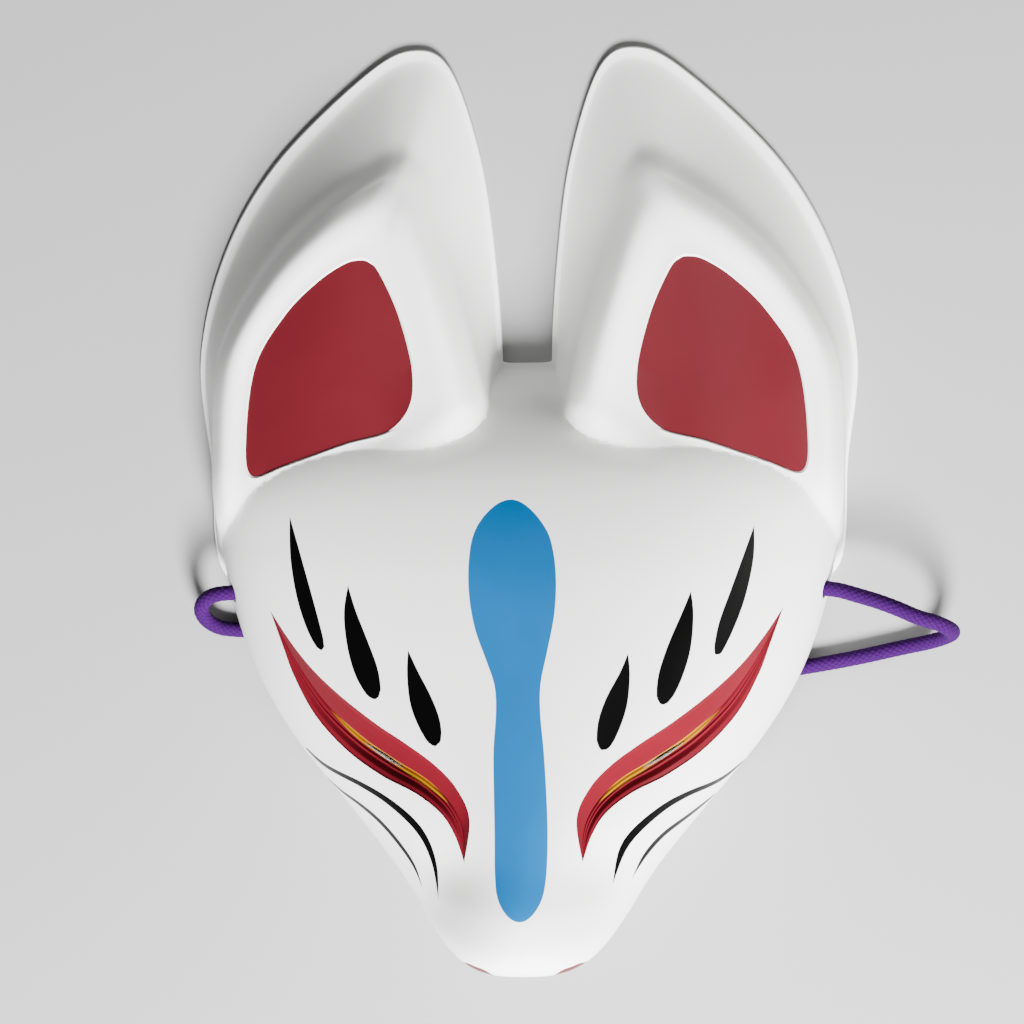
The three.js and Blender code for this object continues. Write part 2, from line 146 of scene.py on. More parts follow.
# The gold eyeball: where it starts and stops along the eye, its lower edge towards the outer and the inner
# corner, and its upper edge
EYE_GOLD = (2.6, 7.4, 0.385, 0.315, 0.5)
GOLD_TAPER = 1.2

# Holes for the cord, and the arch under each cheek: from which y to which, and its height
CORD_HOLE = (80.2, -28.9, 15)
CORD_HOLE_RADIUS = 2.7
CORD_HOLE_CUT = 12
ARCH_FROM = -26
ARCH_TO = -84
ARCH_HEIGHT = 6.6

# Painted marks, each as a middle line with its half width; an end of some width is round
BROWS = (
    ((-62.3, -7.9, 0), (-60.3, -18.6, 1.5), (-57.7, -28.9, 2.15), (-54.9, -37.3, 1.9), (-52.5, -42.8, 1)),
    ((-45.7, -26, 0), (-45, -33.2, 1.7), (-42.8, -41.4, 2.9), (-40.2, -48.6, 3.1), (-37.7, -54.9, 1.6)),
    ((-29.5, -42.4, 0), (-28.3, -48, 1.45), (-26.1, -54.9, 2.85), (-23.7, -60.8, 2.85), (-21.8, -66.2, 1.5)),
    ((26.6, -43.5, 0), (25.7, -48.8, 1.35), (23.6, -55.4, 2.8), (21.5, -61.4, 2.85), (19.9, -67.4, 1.6)),
    ((43, -28.1, 0), (42.1, -33.8, 1.5), (39.8, -42.2, 2.95), (37.1, -50, 3), (35, -56.6, 1.6)),
    ((60.1, -11.4, 0), (58.4, -19.4, 1.4), (55.3, -29.2, 2.15), (52, -37.5, 2.1), (49.4, -44.7, 1)),
)
WHISKERS = (
    ((-59.6, -69.9, 0.4), (-53.6, -73.6, 0.6), (-42.9, -77, 0.72), (-35.3, -80.4, 0.85), (-28.6, -85.1, 1),
     (-24.7, -89.9, 0.9), (-22.4, -96.4, 0.6), (-21.5, -104.6, 0)),
    ((-54.5, -77.8, 0.35), (-49.5, -80.5, 0.52), (-43.5, -83, 0.56), (-37.4, -86.8, 0.6),
     (-31.9, -92.1, 0.56), (-28.1, -97.2, 0.42), (-25.9, -102.9, 0)),
    ((58.4, -74.3, 0.45), (51, -77.9, 0.65), (42, -80, 0.75), (35.4, -82.7, 0.9), (28.4, -87.7, 1.05),
     (24.6, -92.6, 0.9), (22.1, -101, 0)),
    ((50.5, -82.4, 0.4), (46, -84.6, 0.55), (42.2, -86.5, 0.6), (35.4, -90.1, 0.64), (30.4, -94.9, 0.55),
     (27, -100.6, 0)),
)
STRIPE = (
    (-3.5, -4.1, 7.6), (-3.5, -12, 9.7), (-3.1, -20, 11.1), (-2.8, -28, 11.2), (-2.4, -36, 10.1),
    (-1.8, -44, 7.8), (-1.4, -51, 5.85), (-1.25, -58, 5.6), (-1.1, -67, 6.3), (-0.7, -77, 6.55),
    (-0.4, -87, 6.6), (-0.5, -96, 6.4), (-0.7, -102, 5.7), (-0.7, -107.4, 4.9),
)
# Lips on the muzzle's underside, as upper and lower edges in x and z for x above 0
LIPS = (
    ((0, 63.6), (3, 65.8), (6, 71), (9, 74.4), (12, 72.8), (14.4, 69.6), (16.6, 62), (18, 54), (18.6, 45),
     (17.4, 35)),
    ((0, 54.5), (4, 54), (8, 50.5), (11.4, 44), (13.6, 37), (14.8, 30)),
)

# Cord's route from the hole in the left cheek to the one in the right cheek, as in the part
CORD_ROUTE = (
    (77.1, -28.9, 15), (81, -28.9, 15.1), (84.6, -29.4, 16.1), (88.8, -30.6, 17.8), (94, -32.2, 19.5),
    (99.3, -34.2, 20.8), (104.6, -36.5, 21.2), (109.9, -38.2, 19.9), (113.8, -39.9, 16.4),
    (115.3, -41.3, 11.8), (113.8, -42.8, 7.1), (109.9, -44.3, 3.7), (104.6, -45.5, 2.4), (99, -46.7, 2.3),
    (93.5, -47.9, 2.3), (87.5, -49.1, 2.3), (80, -50.4, 2.3), (71, -51.9, 2.3), (58, -54.6, 2.3),
    (43, -57.6, 2.3), (28, -59, 2.3), (13, -58.4, 2.3), (-2, -55.6, 2.3), (-17, -51.6, 2.3),
    (-32, -47.4, 2.3), (-46, -44, 2.3), (-58, -41.9, 2.3), (-67, -40.8, 2.3), (-73.5, -40.2, 2.3),
    (-78.2, -39.8, 2.3), (-82.3, -39.6, 2.4), (-86.5, -38.9, 3.3), (-89.5, -36.9, 5.6), (-90.6, -34.2, 8.8),
    (-89.5, -31.6, 12), (-86.5, -29.6, 14.3), (-82.3, -28.9, 15.2), (-77.1, -28.9, 15),
)


class MaskSizes(bpy.types.PropertyGroup):
    """Sizes of the mask's parts"""

    wall: FloatProperty(
        name="Wall", description="Thickness of the moulded plastic", default=0.0022, min=0.001, unit="LENGTH",
        subtype="DISTANCE")
    flange: FloatProperty(
        name="Flange height", description="Thickness of the flat flange round the ears", default=0.0022,
        min=0.001, unit="LENGTH", subtype="DISTANCE")
    panel_recess: FloatProperty(
        name="Panel recess", description="Depth of the ear panels", default=0.0005, min=0.0, unit="LENGTH",
        subtype="DISTANCE")
    cord: FloatProperty(
        name="Cord", description="Diameter of the elastic cord", default=0.0043, min=0.001, unit="LENGTH",
        subtype="DISTANCE")
    knot: FloatProperty(
        name="Knot", description="Size of the knot at each end of the cord", default=0.012, min=0.004,
        unit="LENGTH", subtype="DISTANCE")
    stitches: IntProperty(
        name="Stitches", description="Braid stitches round the cord", default=16, min=4, max=24)


class MaskColours(bpy.types.PropertyGroup):
    """Colours of the mask's paints"""

    white: FloatVectorProperty(
        name="White", description="Lacquer of the face", default=(0.9, 0.9, 0.89), size=3, min=0, max=1,
        subtype="COLOR")
    ear_red: FloatVectorProperty(
        name="Ear red", description="Paint of the ear panels and the lips", default=(0.085, 0.006, 0.01),
        size=3, min=0, max=1, subtype="COLOR")
    eye_red: FloatVectorProperty(
        name="Eye red", description="Paint of the eye sockets", default=(0.115, 0.006, 0.012),
        size=3, min=0, max=1, subtype="COLOR")
    gold: FloatVectorProperty(
        name="Gold", description="Paint of the eyeballs", default=(0.34, 0.15, 0.0), size=3, min=0, max=1,
        subtype="COLOR")
    blue: FloatVectorProperty(
        name="Blue", description="Paint of the stripe on the nose", default=(0.0, 0.1, 0.28), size=3,
        min=0, max=1, subtype="COLOR")
    ink: FloatVectorProperty(
        name="Black", description="Paint of the brows and whiskers", default=(0.001, 0.001, 0.001), size=3,
        min=0, max=1, subtype="COLOR")
    purple: FloatVectorProperty(
        name="Purple", description="Yarn of the elastic cord", default=(0.019, 0.0, 0.042), size=3, min=0,
        max=1, subtype="COLOR")


# Curves and shape functions


def through_rows(rows, at, closed=False):
    """Smooth curve through rows of numbers, at row numbers that may lie between two rows"""
    rows = np.asarray(rows, float)
    at = np.asarray(at, float)
    count = len(rows)
    first = np.floor(at).astype(int)
    f = (at - first)[..., None]

    def row(i):
        return rows[i % count] if closed else rows[np.clip(i, 0, count - 1)]

    a, b, c, d = row(first - 1), row(first), row(first + 1), row(first + 2)
    slope_in = (c - a) / 2
    slope_out = (d - b) / 2
    cubic = 2 * b - 2 * c + slope_in + slope_out
    square = 3 * c - 3 * b - 2 * slope_in - slope_out
    return b + f * (slope_in + f * (square + f * cubic))


def mix(a, b, f):
    return a + (b - a) * f


def smoothstep(low, high, value):
    f = np.clip((value - low) / (high - low), 0, 1)
    return f * f * (3 - 2 * f)


def face_points(station, share):
    """Points of the face: share runs across it from -1 at the right rim to 1 at the left rim"""
    crown_y, crown_z, rim_x, rim_y, across, upward = np.moveaxis(through_rows(FACE_STATIONS, station), -1, 0)
    rise = np.maximum(0, 1 - np.abs(share) ** across) ** (1 / upward)
    x = rim_x * share
    y = mix(rim_y, crown_y, rise)
    z = crown_z * rise
    from_hollow = (np.abs(x) - HOLLOW_PLACE[0]) ** 2 + (y - HOLLOW_PLACE[1]) ** 2
    hollow = HOLLOW_DEPTH * np.exp(-from_hollow / HOLLOW_SPREAD ** 2)
    mouth = MOUTH_DEPTH * smoothstep(*MOUTH_FADE, z) * np.exp(-((station - MOUTH_STATION) / MOUTH_REACH) ** 2)
    return np.stack([x, y + mouth, z - hollow], axis=-1)


def face_heights(x, y):
    """Height of the face over points, found by moving the station until the section meets them"""
    station = np.full(np.shape(x), 8.0)
    for _ in range(40):
        share = np.clip(x / through_rows(FACE_STATIONS, station)[..., 2], -1, 1)
        point = face_points(station, share)
        pace = face_points(station + 0.01, share)[..., 1] - point[..., 1]
        move = np.clip(0.01 * (y - point[..., 1]) / pace, -0.6, 0.6)
        station = np.clip(station + move, 0, LAST_TOP_STATION)
    return point[..., 2]


def plateau_heights(x, y):
    """Height of the ear's arms and panel before their own relief"""
    outward = np.maximum(0, x - OUTER_FALL_FROM)
    end = np.where(x > 70, np.maximum(0, END_FALL_FROM - y), 0)
    return PLATEAU_HEIGHT - PLATEAU_SLOPE * (y - PLATEAU_FROM) - outward ** 2 / 200 - end ** 2 / 56


def ear_points(around, ring, sizes):
    """Points of the left ear: ring 0 is the rim, 1 the flange's inner edge, 2 the arms' outer edge, 3 the
    panel's edge and 4 its middle"""
    rim = through_rows(EAR_RIM, around, True)
    arms = through_rows(EAR_ARMS, around, True)
    panel = through_rows(EAR_PANEL, around, True)
    width, crown, shoulder, flank = np.moveaxis(through_rows(EAR_SECTION, around, True), -1, 0)
    inward = arms - rim
    flange = rim + inward * (width / np.linalg.norm(inward, axis=-1))[..., None]
    middle = np.broadcast_to(EAR_CENTRE, rim.shape)
    outlines = np.stack([rim, flange, arms, panel, middle, middle])
    k = np.clip(np.floor(ring).astype(int), 0, 3)
    f = ring - k
    rows = np.arange(len(around))
    plan = mix(outlines[k, rows], outlines[k + 1, rows], f[..., None])
    level = plateau_heights(plan[..., 0], plan[..., 1])
    arm_edge = plateau_heights(arms[..., 0], arms[..., 1]) - shoulder
    height = sizes.flange / MM
    edge = np.clip(1 - f * width / RIM_ROUNDING, 0, 1)
    rounded = height - RIM_ROUNDING * (1 - np.sqrt(1 - edge ** 2))
    facet = height + (arm_edge - flank - height) * f ** FACET_CURVE + flank * smoothstep(FLANK_FROM, 1, f)
    arm = level - shoulder * (1 - np.minimum(1, f / SHOULDER_REACH)) ** 2 + crown * np.sin(math.pi * f) ** 2
    recessed = level - sizes.panel_recess / MM * np.minimum(1, f / PANEL_STEP)
    z = np.select([k == 0, k == 1, k == 2], [rounded, facet, arm], recessed)
    return np.concatenate([plan, z[..., None]], axis=-1)


def eye_points(along, share):
    """Points across the eye socket, level with the face, from its lower edge at 0 to its upper edge at 1"""
    plan = mix(through_rows(EYE_LOWER, along), through_rows(EYE_UPPER, along), share[..., None])
    return np.concatenate([plan, face_heights(plan[..., 0], plan[..., 1])[..., None]], axis=-1)


def socket_points(along, share, profile, extra):
    """Points of the socket's floor by its depth profile"""
    low = through_rows(EYE_LOWER, along)
    high = through_rows(EYE_UPPER, along)
    width = np.linalg.norm(high - low, axis=-1)
    shares, depths = np.array(profile).T
    steps = (-0.012, -0.006, 0, 0.006, 0.012)
    depth = sum(np.interp(share + step, shares, depths) for step in steps) / len(steps)
    points = eye_points(along, share)
    points[..., 2] -= depth * np.minimum(1, width / FULL_DEPTH_WIDTH) + extra
    return points


def stroke_sides(rows):
    """Both sides of a painted stroke, from its middle line and half widths; a wide end is round"""
    rows = np.asarray(rows, float)
    at = 0.5 - 0.5 * np.cos(np.linspace(0, math.pi, 12 * len(rows)))
    line = through_rows(rows, at * (len(rows) - 1))
    ahead = np.gradient(line[:, :2], axis=0)
    ahead /= np.linalg.norm(ahead, axis=1)[:, None]
    run = np.concatenate([[0], np.cumsum(np.linalg.norm(np.diff(line[:, :2], axis=0), axis=1))])
    half = np.maximum(line[:, 2], 0)
    for distance, end in ((run, rows[0, 2]), (run[-1] - run, rows[-1, 2])):
        if end > 0:
            near = np.clip(distance / (1.5 * end), 0, 1)
            half = half * np.sqrt(1 - (1 - near) ** 2)
    side = np.stack([-ahead[:, 1], ahead[:, 0]], axis=1) * half[:, None]
    return line[:, :2] + side, line[:, :2] - side


def edge_distance(points, line, run_on=30):
    """Signed distance of plan points from a line that runs on straight at both ends, above 0 on its left"""
    start = line[0] + (line[0] - line[1]) / np.linalg.norm(line[0] - line[1]) * run_on
    stop = line[-1] + (line[-1] - line[-2]) / np.linalg.norm(line[-1] - line[-2]) * run_on
    line = np.vstack([start, line, stop]) if run_on else line
    a, step = line[:-1], np.diff(line, axis=0)
    offset = points[:, None, :] - a[None]
    f = np.clip((offset * step).sum(-1) / (step ** 2).sum(-1), 0, 1)
    gap = offset - f[..., None] * step
    distance = np.linalg.norm(gap, axis=-1)
    nearest = distance.argmin(axis=1)
    rows = np.arange(len(points))
    side = step[nearest, 0] * offset[rows, nearest, 1] - step[nearest, 1] * offset[rows, nearest, 0]
    return np.where(side > 0, 1, -1) * distance[rows, nearest]


# Mesh tools


def moved_grid(columns, rows, place, paint=None):
    """A grid whose points are moved by place(across, down), both from 0 to 1, and joined where they meet"""
    bm = bmesh.new()
    bmesh.ops.create_grid(bm, x_segments=columns, y_segments=rows, size=1)
    flat = np.array([v.co for v in bm.verts])
    across, down = (flat[:, 0] + 1) / 2, (1 - flat[:, 1]) / 2
    if paint:
        for face in bm.faces:
            middle = face.calc_center_median()
            face.material_index = paint((middle.x + 1) / 2, (1 - middle.y) / 2)
    for vert, point in zip(bm.verts, place(across, down)):
        vert.co = point
    bmesh.ops.remove_doubles(bm, verts=bm.verts, dist=1e-4)
    return bm


def closed_block(bm, height):
    """Closes a sheet into a block with a flat side at a height"""
    made = bmesh.ops.extrude_face_region(bm, geom=bm.faces[:], use_keep_orig=True)["geom"]
    for vert in made:
        if isinstance(vert, bmesh.types.BMVert):
            vert.co.z = height
    bmesh.ops.recalc_face_normals(bm, faces=bm.faces)
    return bm


def offset_inward(bm, distance):
    """Moves an open sheet into the material, square to its surface"""
    bmesh.ops.recalc_face_normals(bm, faces=bm.faces)
    if sum(face.normal.z * face.calc_area() for face in bm.faces) < 0:
        bmesh.ops.reverse_faces(bm, faces=bm.faces)
    bm.normal_update()
    normals = [vert.normal.copy() for vert in bm.verts]
    for vert, normal in zip(bm.verts, normals):
        vert.co -= normal * distance
    return bm


def with_mirror(bm):
    """Adds the block's mirror image in the other half"""
    made = bmesh.ops.duplicate(bm, geom=bm.verts[:] + bm.edges[:] + bm.faces[:])["geom"]
    verts = [item for item in made if isinstance(item, bmesh.types.BMVert)]
    faces = [item for item in made if isinstance(item, bmesh.types.BMFace)]
    bmesh.ops.scale(bm, vec=(-1, 1, 1), verts=verts)
    bmesh.ops.reverse_faces(bm, faces=faces)
    return bm


def new_piece(name, bm, materials=()):
    """An object of a finished bmesh"""
    mesh = bpy.data.meshes.new(name)
    bm.to_mesh(mesh)
    bm.free()
    for material in materials:
        mesh.materials.append(material)
    piece = bpy.data.objects.new(name, mesh)
    bpy.context.scene.collection.objects.link(piece)
    return piece


def combine(target, tool, operation):
    """Joins or cuts one solid with another, and removes the tool"""
    modifier = target.modifiers.new("Combine", "BOOLEAN")
    modifier.operation = operation
    modifier.solver = "MANIFOLD"
    modifier.object = tool
    bpy.context.view_layer.update()
    evaluated = target.evaluated_get(bpy.context.evaluated_depsgraph_get())
    mesh = bpy.data.meshes.new_from_object(evaluated)
    target.modifiers.clear()
    old = target.data
    target.data = mesh
    bpy.data.meshes.remove(old)
    bpy.data.objects.remove(tool)


def vertex_positions(mesh):
    flat = np.empty(len(mesh.vertices) * 3, np.float32)
    mesh.vertices.foreach_get("co", flat)
    return flat.reshape(-1, 3).astype(float)


def store_positions(mesh, points):
    mesh.vertices.foreach_set("co", points.astype(np.float32).ravel())
    mesh.update()


def store_field(mesh, name, values):
    attribute = mesh.attributes.new(name, "FLOAT", "POINT")
    attribute.data.foreach_set("value", values.astype(np.float32))


def soften(mesh, weights, passes):
    """Rounds the mesh where its weights are above 0, by moving points towards their neighbours"""
    points = vertex_positions(mesh)
    edges = np.empty(len(mesh.edges) * 2, np.int32)
    mesh.edges.foreach_get("vertices", edges)
    a, b = edges.reshape(-1, 2).T
    near = (weights[a] > 0) | (weights[b] > 0)
    a, b = a[near], b[near]
    for _ in range(passes):
        pull = 1 / np.maximum(np.linalg.norm(points[a] - points[b], axis=1), 0.05)
        total = np.bincount(a, pull, len(points)) + np.bincount(b, pull, len(points))
        total = np.maximum(total, 1e-9)
        target = np.stack([
            (np.bincount(a, pull * points[b, k], len(points))
             + np.bincount(b, pull * points[a, k], len(points))) / total
            for k in range(3)
        ], axis=1)
        points += 0.5 * weights[:, None] * (target - points)
    store_positions(mesh, points)


# Materials


def new_material(name, colour, roughness):
    material = bpy.data.materials.new(name)
    material.use_nodes = True
    nodes = material.node_tree.nodes
    shader = nodes["Principled BSDF"]
    shader.inputs["Base Color"].default_value = (*colour, 1)
    shader.inputs["Roughness"].default_value = roughness
    return material, nodes, material.node_tree.links, shader


def plastic_finish(nodes, links, shader, roughness, coarse=38, depth=0.25):
    """Faint unevenness of a sprayed lacquer on moulded plastic"""
    place = nodes.new("ShaderNodeTexCoord")
    wave = nodes.new("ShaderNodeTexNoise")
    wave.inputs["Scale"].default_value = coarse
    wave.inputs["Detail"].default_value = 3
    grain = nodes.new("ShaderNodeTexNoise")
    grain.inputs["Scale"].default_value = 900
    grain.inputs["Detail"].default_value = 2
    span = nodes.new("ShaderNodeMapRange")
    span.inputs["To Min"].default_value = roughness - 0.05
    span.inputs["To Max"].default_value = roughness + 0.07
    both = nodes.new("ShaderNodeMath")
    both.operation = "MULTIPLY_ADD"
    both.inputs[1].default_value = 0.12
    bump = nodes.new("ShaderNodeBump")
    bump.inputs["Strength"].default_value = depth
    bump.inputs["Distance"].default_value = 0.0002
    links.new(place.outputs["Object"], wave.inputs["Vector"])
    links.new(place.outputs["Object"], grain.inputs["Vector"])
    links.new(wave.outputs["Fac"], span.inputs["Value"])
    links.new(span.outputs["Result"], shader.inputs["Roughness"])
    links.new(grain.outputs["Fac"], both.inputs[0])
    links.new(wave.outputs["Fac"], both.inputs[2])
    links.new(both.outputs["Value"], bump.inputs["Height"])
    links.new(bump.outputs["Normal"], shader.inputs["Normal"])
    return wave


def tinted(nodes, links, wave, colour, low=0.93, high=1.05):
    """The colour with a slight, slow change of tone; returns its socket"""
    span = nodes.new("ShaderNodeMapRange")
    span.inputs["From Min"].default_value = 0.3
    span.inputs["From Max"].default_value = 0.7
    span.inputs["To Min"].default_value = low
    span.inputs["To Max"].default_value = high
    scale = nodes.new("ShaderNodeVectorMath")
    scale.operation = "SCALE"
    scale.inputs[0].default_value = colour
    links.new(wave.outputs["Fac"], span.inputs["Value"])
    links.new(span.outputs["Result"], scale.inputs["Scale"])
    return scale.outputs["Vector"]


def painted_area(nodes, links, first, second, softness):
    """1 inside a painted mark whose two edge distances are attributes of the mesh, in millimetres"""
    fields = []
    for name in (first, second):
        field = nodes.new("ShaderNodeAttribute")
        field.attribute_name = name
        fields.append(field.outputs["Fac"])
    nearest = nodes.new("ShaderNodeMath")
    nearest.operation = "MINIMUM"
    links.new(fields[0], nearest.inputs[0])
    links.new(fields[1], nearest.inputs[1])
    edge = nodes.new("ShaderNodeMapRange")
    edge.interpolation_type = "SMOOTHSTEP"
    edge.inputs["From Min"].default_value = -softness
    edge.inputs["From Max"].default_value = softness
    links.new(nearest.outputs["Value"], edge.inputs["Value"])
    return edge.outputs["Result"]


def over(nodes, links, area, below, above):
    """One colour over another by an area; returns its socket"""
    layer = nodes.new("ShaderNodeMix")
    layer.data_type = "RGBA"
    links.new(area, layer.inputs["Factor"])
    links.new(below, layer.inputs["A"])
    links.new(above, layer.inputs["B"])
    return layer.outputs["Result"]


def lacquer_material(colours):
    material, nodes, links, shader = new_material("white_lacquer", colours.white, 0.32)
    wave = plastic_finish(nodes, links, shader, 0.32)
    colour = tinted(nodes, links, wave, colours.white, 0.985, 1.01)
    for first, second, paint in (
        ("stripe_a", "stripe_b", colours.blue),
        ("ink_a", "ink_b", colours.ink),
        ("dash_a", "dash_b", colours.ink),
        ("lip_a", "lip_b", colours.ear_red),
    ):
        area = painted_area(nodes, links, first, second, 0.07)
        colour = over(nodes, links, area, colour, tinted(nodes, links, wave, paint))
    links.new(colour, shader.inputs["Base Color"])
    shader.inputs["Specular IOR Level"].default_value = 0.1
    return material


def eye_material(colours):
    material, nodes, links, shader = new_material("eye_red", colours.eye_red, 0.28)
    wave = plastic_finish(nodes, links, shader, 0.28, 60)
    area = painted_area(nodes, links, "gold_a", "gold_b", 0.1)
    colour = over(nodes, links, area, tinted(nodes, links, wave, colours.eye_red),
                  tinted(nodes, links, wave, colours.gold))
    links.new(colour, shader.inputs["Base Color"])
    shader.inputs["Specular IOR Level"].default_value = 0.12
    return material


def plain_paint(name, colour, roughness):
    material, nodes, links, shader = new_material(name, colour, roughness)
    wave = plastic_finish(nodes, links, shader, roughness, 30)
    links.new(tinted(nodes, links, wave, colour), shader.inputs["Base Color"])
    return material


def braid_material(colours):
    """Elastic cord: purple yarn painted lighter on its stitches' crowns and darker between them as painted
    highlight and shade, with a soft sheen
    """
    material, nodes, links, shader = new_material("purple_braid", colours.purple, 0.85)
    # Painted highlight and shade: the stitch heights lighten the yarn on its crowns and darken it in the gaps
    # between stitches
    crown = nodes.new("ShaderNodeAttribute")
    crown.attribute_name = "stitch"
    place = nodes.new("ShaderNodeTexCoord")
    fuzz = nodes.new("ShaderNodeTexNoise")
    fuzz.inputs["Scale"].default_value = 2600
    fuzz.inputs["Detail"].default_value = 3
    tone = nodes.new("ShaderNodeMath")
    tone.operation = "MULTIPLY_ADD"
    tone.inputs[1].default_value = 0.55
    ramp = nodes.new("ShaderNodeMapRange")
    ramp.inputs["From Min"].default_value = 0.3
    ramp.inputs["From Max"].default_value = 1.3
    ramp.inputs["To Min"].default_value = 0.2
    ramp.inputs["To Max"].default_value = 1.9
    scale = nodes.new("ShaderNodeVectorMath")
    scale.operation = "SCALE"
    scale.inputs[0].default_value = colours.purple
    bump = nodes.new("ShaderNodeBump")
    bump.inputs["Strength"].default_value = 0.5
    bump.inputs["Distance"].default_value = 0.0002
    links.new(place.outputs["Object"], fuzz.inputs["Vector"])
    links.new(crown.outputs["Fac"], tone.inputs[0])
    links.new(fuzz.outputs["Fac"], tone.inputs[2])
    links.new(tone.outputs["Value"], ramp.inputs["Value"])
    links.new(ramp.outputs["Result"], scale.inputs["Scale"])
    links.new(scale.outputs["Vector"], shader.inputs["Base Color"])
    links.new(fuzz.outputs["Fac"], bump.inputs["Height"])
    links.new(bump.outputs["Normal"], shader.inputs["Normal"])
    shader.inputs["Sheen Weight"].default_value = 0.05
    shader.inputs["Sheen Roughness"].default_value = 0.4
    shader.inputs["Sheen Tint"].default_value = (0.6, 0.3, 1, 1)
    shader.inputs["Specular IOR Level"].default_value = 0.1
    return material


# Shell


def face_grid(columns, rows):
    return moved_grid(columns, rows, lambda across, down: face_points(
        down * (len(FACE_STATIONS) - 1), np.sin((across - 0.5) * math.pi)))


def ear_grid(columns, rings, sizes, paint=None):
    at = np.linspace(0, 1, len(rings))
    return moved_grid(columns, len(rings) - 1, lambda across, down: ear_points(
        (across * len(EAR_RIM)) % len(EAR_RIM), np.interp(down, at, rings), sizes), paint)


def eye_grid(columns, rows, profile, extra):
    low, high = profile[0][0], profile[-1][0]
    return moved_grid(columns, rows, lambda across, down: socket_points(
        down * (len(EYE_UPPER) - 1), mix(low, high, across), profile, extra))


def panel_paint(across, down):
    """Material number of an ear's face: the panel is red"""
    ring = np.interp(down, np.linspace(0, 1, len(EAR_RINGS)), EAR_RINGS)
    return 1 if ring > 3.018 else 0


def pupil_block():
    """Slot through the eyeball, along the direction in which its wearer looks"""
    out = np.array(PUPIL_NORMAL) / np.linalg.norm(PUPIL_NORMAL)
    low, high = PUPIL_SHARES

    def place(across, down):
        opened = np.maximum(0.1, np.sin(math.pi * down) ** 0.7)
        share = (low + high) / 2 + (across - 0.5) * (high - low) * opened
        points = eye_points(mix(*PUPIL_ALONG, down), share)
        points[..., 2] -= PUPIL_DEPTH
        return points + out * PUPIL_CUT_OUT

    bm = moved_grid(6, 30, place)
    made = bmesh.ops.extrude_face_region(bm, geom=bm.faces[:], use_keep_orig=True)["geom"]
    verts = [item for item in made if isinstance(item, bmesh.types.BMVert)]
    bmesh.ops.translate(bm, vec=Vector(out) * -PUPIL_CUT_LENGTH, verts=verts)
    bmesh.ops.recalc_face_normals(bm, faces=bm.faces)
    return bm


def cord_hole_block():
    bm = bmesh.new()
    turn = Matrix.Translation(CORD_HOLE) @ Matrix.Rotation(math.pi / 2, 4, "Y")
    bmesh.ops.create_cone(
        bm, cap_ends=True, segments=40, radius1=CORD_HOLE_RADIUS, radius2=CORD_HOLE_RADIUS,
        depth=CORD_HOLE_CUT, matrix=turn)
    return bm


def below_rim_block():
    """The space under the rim, with an arch under each cheek for the cord"""
    def place(across, down):
        y = np.interp(down, (0, 0.05, 0.95, 1), (200, ARCH_FROM, ARCH_TO, -200))
        along = np.abs((2 * (y - ARCH_FROM)) / (ARCH_TO - ARCH_FROM) - 1)
        rise = np.where((y < ARCH_FROM) & (y > ARCH_TO), ARCH_HEIGHT * (1 - along ** 3), 0)
        return np.stack([(across - 0.5) * 400, y, np.where(down < 0.04, 0, rise)], axis=-1)

    return closed_block(moved_grid(1, 80, place), -200)


def edge_weights(mesh, regions):
    """1 on sharp inner creases inside the regions, falling to 0 away from them"""
    points = vertex_positions(mesh)
    bm = bmesh.new()
    bm.from_mesh(mesh)
    creases = []
    for edge in bm.edges:
        if len(edge.link_faces) == 2 and edge.calc_face_angle(0) > math.radians(14):
            middle = (edge.verts[0].co + edge.verts[1].co) / 2
            place = (abs(middle.x), middle.y, middle.z)
            for low, high, reach in regions:
                if all(low[k] < place[k] < high[k] for k in range(3)):
                    creases.append((middle, reach))
    bm.free()
    tree = KDTree(len(creases))
    for i, (middle, _) in enumerate(creases):
        tree.insert(middle, i)
    tree.balance()
    weights = np.zeros(len(points))
    if creases:
        for i, point in enumerate(points):
            _, nearest, distance = tree.find(point)
            reach = creases[nearest][1]
            weights[i] = float(smoothstep(0, 1, 1 - distance / reach)) if distance < reach else 0
    return weights


def line_weights(mesh, line, reach, keep=None):
    """1 along a line in plan, falling to 0 at its reach and at the line that is kept"""
    plan = vertex_positions(mesh)[:, :2]
    plan[:, 0] = np.abs(plan[:, 0])
    weights = smoothstep(0, 1, 1 - np.abs(edge_distance(plan, line, 0)) / reach)
    if keep is not None:
        weights = weights * smoothstep(0.2, 1.4, np.abs(edge_distance(plan, keep, 0)))
    return weights


